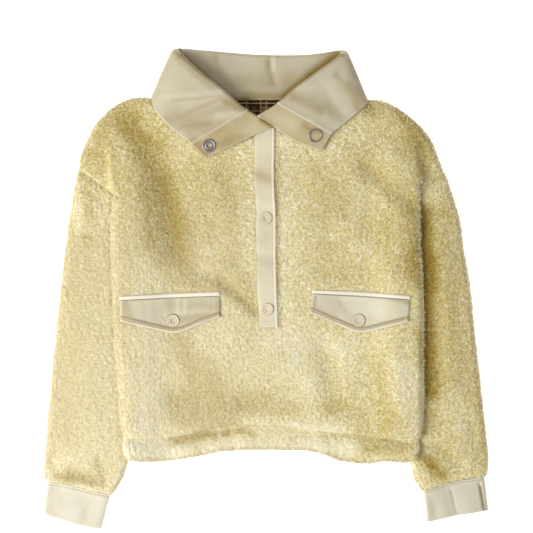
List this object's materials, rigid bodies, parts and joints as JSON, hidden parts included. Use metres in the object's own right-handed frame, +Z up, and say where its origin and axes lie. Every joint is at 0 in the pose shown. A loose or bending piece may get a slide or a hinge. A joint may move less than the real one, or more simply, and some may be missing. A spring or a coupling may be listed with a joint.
{
  "type": "sherpa fleece pullover",
  "caption": "Child's boxy half-placket pullover in curly fleece with a fold-over snap collar, flap pockets and plain cuffs, laid flat with its sleeves straight down.",
  "frame": {"origin": "middle of the garment's plan, on the surface that it lies on", "axes": "+X to the right as seen from above, +Y from the hem to the collar, +Z up from the surface"},
  "size_m": [0.4906, 0.5299, 0.0277],
  "materials": {
    "fleece": "butter-yellow curly sherpa fleece, matt",
    "twill": "cream brushed twill, matt",
    "plaid_lining": "dark brown plaid cotton, matt",
    "snap_metal": "satin nickel-plated ring",
    "snap_paint": "cream enamelled ring"
  },
  "bodies": {
    "root": {"body_front": "fleece", "body_back": "fleece", "sleeve_left": "fleece", "sleeve_right": "fleece", "hem_band": "fleece", "cuff_left": "twill", "cuff_right": "twill", "collar": "twill", "collar_end_left": "twill", "collar_end_right": "twill", "placket_band": "twill", "pocket_flap_left": "twill", "pocket_flap_right": "twill", "pocket_welt_left": "twill", "pocket_welt_right": "twill", "neck_lining": "plaid_lining", "snap_collar_left": "snap_metal", "snap_collar_right": "snap_metal", "snap_placket_upper": "snap_paint", "snap_placket_lower": "snap_paint", "snap_flap_left": "snap_paint", "snap_flap_right": "snap_paint"}
  },
  "joints": []
}
